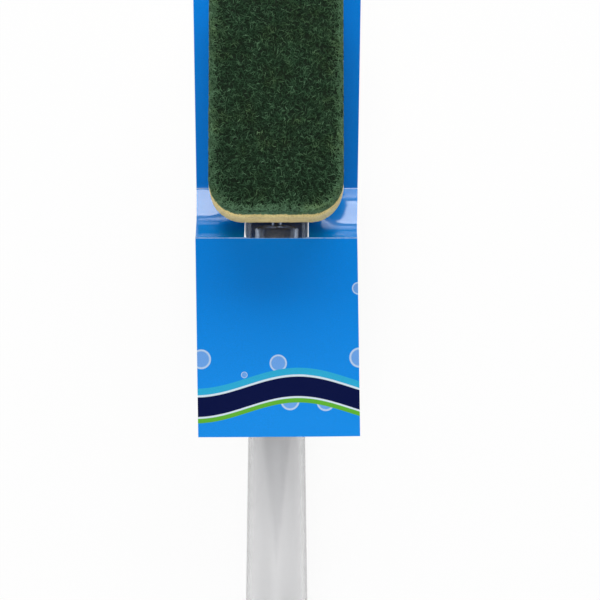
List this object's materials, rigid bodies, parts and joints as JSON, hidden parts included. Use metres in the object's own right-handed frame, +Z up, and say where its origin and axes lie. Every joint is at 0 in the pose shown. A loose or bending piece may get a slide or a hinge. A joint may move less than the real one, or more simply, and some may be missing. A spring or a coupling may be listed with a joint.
{
  "type": "dish wand",
  "caption": "Refillable dish wand: clear hollow handle with screw cap and rail-mounted sponge and scouring pad, threaded through a folded retail card.",
  "frame": {"origin": "middle of the overall length and width, on the surface that the card's back panel lies on", "axes": "+Y along the wand from the filler cap to the tip of the scouring head, +Z up towards the scouring face, +X across"},
  "size_m": [0.075, 0.34, 0.048],
  "materials": {
    "clear_plastic": "gloss",
    "silicone": "satin",
    "white_plastic": "satin",
    "sponge": "matte",
    "scouring_fibre": "matte",
    "cap_plastic": "satin",
    "liner_foam": "matte",
    "printed_card": "gloss"
  },
  "bodies": {
    "handle": {"handle": "clear_plastic", "slit_valve": "silicone", "valve_ring": "white_plastic"},
    "refill": {"base_plate": "white_plastic", "sponge": "sponge", "scouring_pad": "scouring_fibre"},
    "liner": {"cap_liner": "liner_foam"},
    "cap": {"end_cap": "cap_plastic", "hang_lug": "cap_plastic"},
    "card": {"card_front": "printed_card", "card_slope": "printed_card", "card_back": "printed_card"}
  },
  "joints": [
    {"name": "refill_slide", "type": "slide", "parent": "handle", "child": "refill", "axis": [0, 0.9936, -0.1132], "range_m": [0, 0.05]},
    {"name": "cap_lift", "type": "slide", "parent": "handle", "child": "liner", "axis": [0, -1, 0], "range_m": [0, 0.0121]},
    {"name": "cap_turn", "type": "hinge", "parent": "liner", "child": "cap", "pos_m": [0, -0.13925, 0.0143], "axis": [0, -1, 0], "range_deg": [0, 720]},
    {"name": "card_slide", "type": "slide", "parent": "handle", "child": "card", "axis": [0, -1, 0], "range_m": [0, 0.225]}
  ],
  "couplings": [
    {"joint": "cap_lift", "follows": "cap_turn", "m_per_rad": 0.00095493}
  ]
}
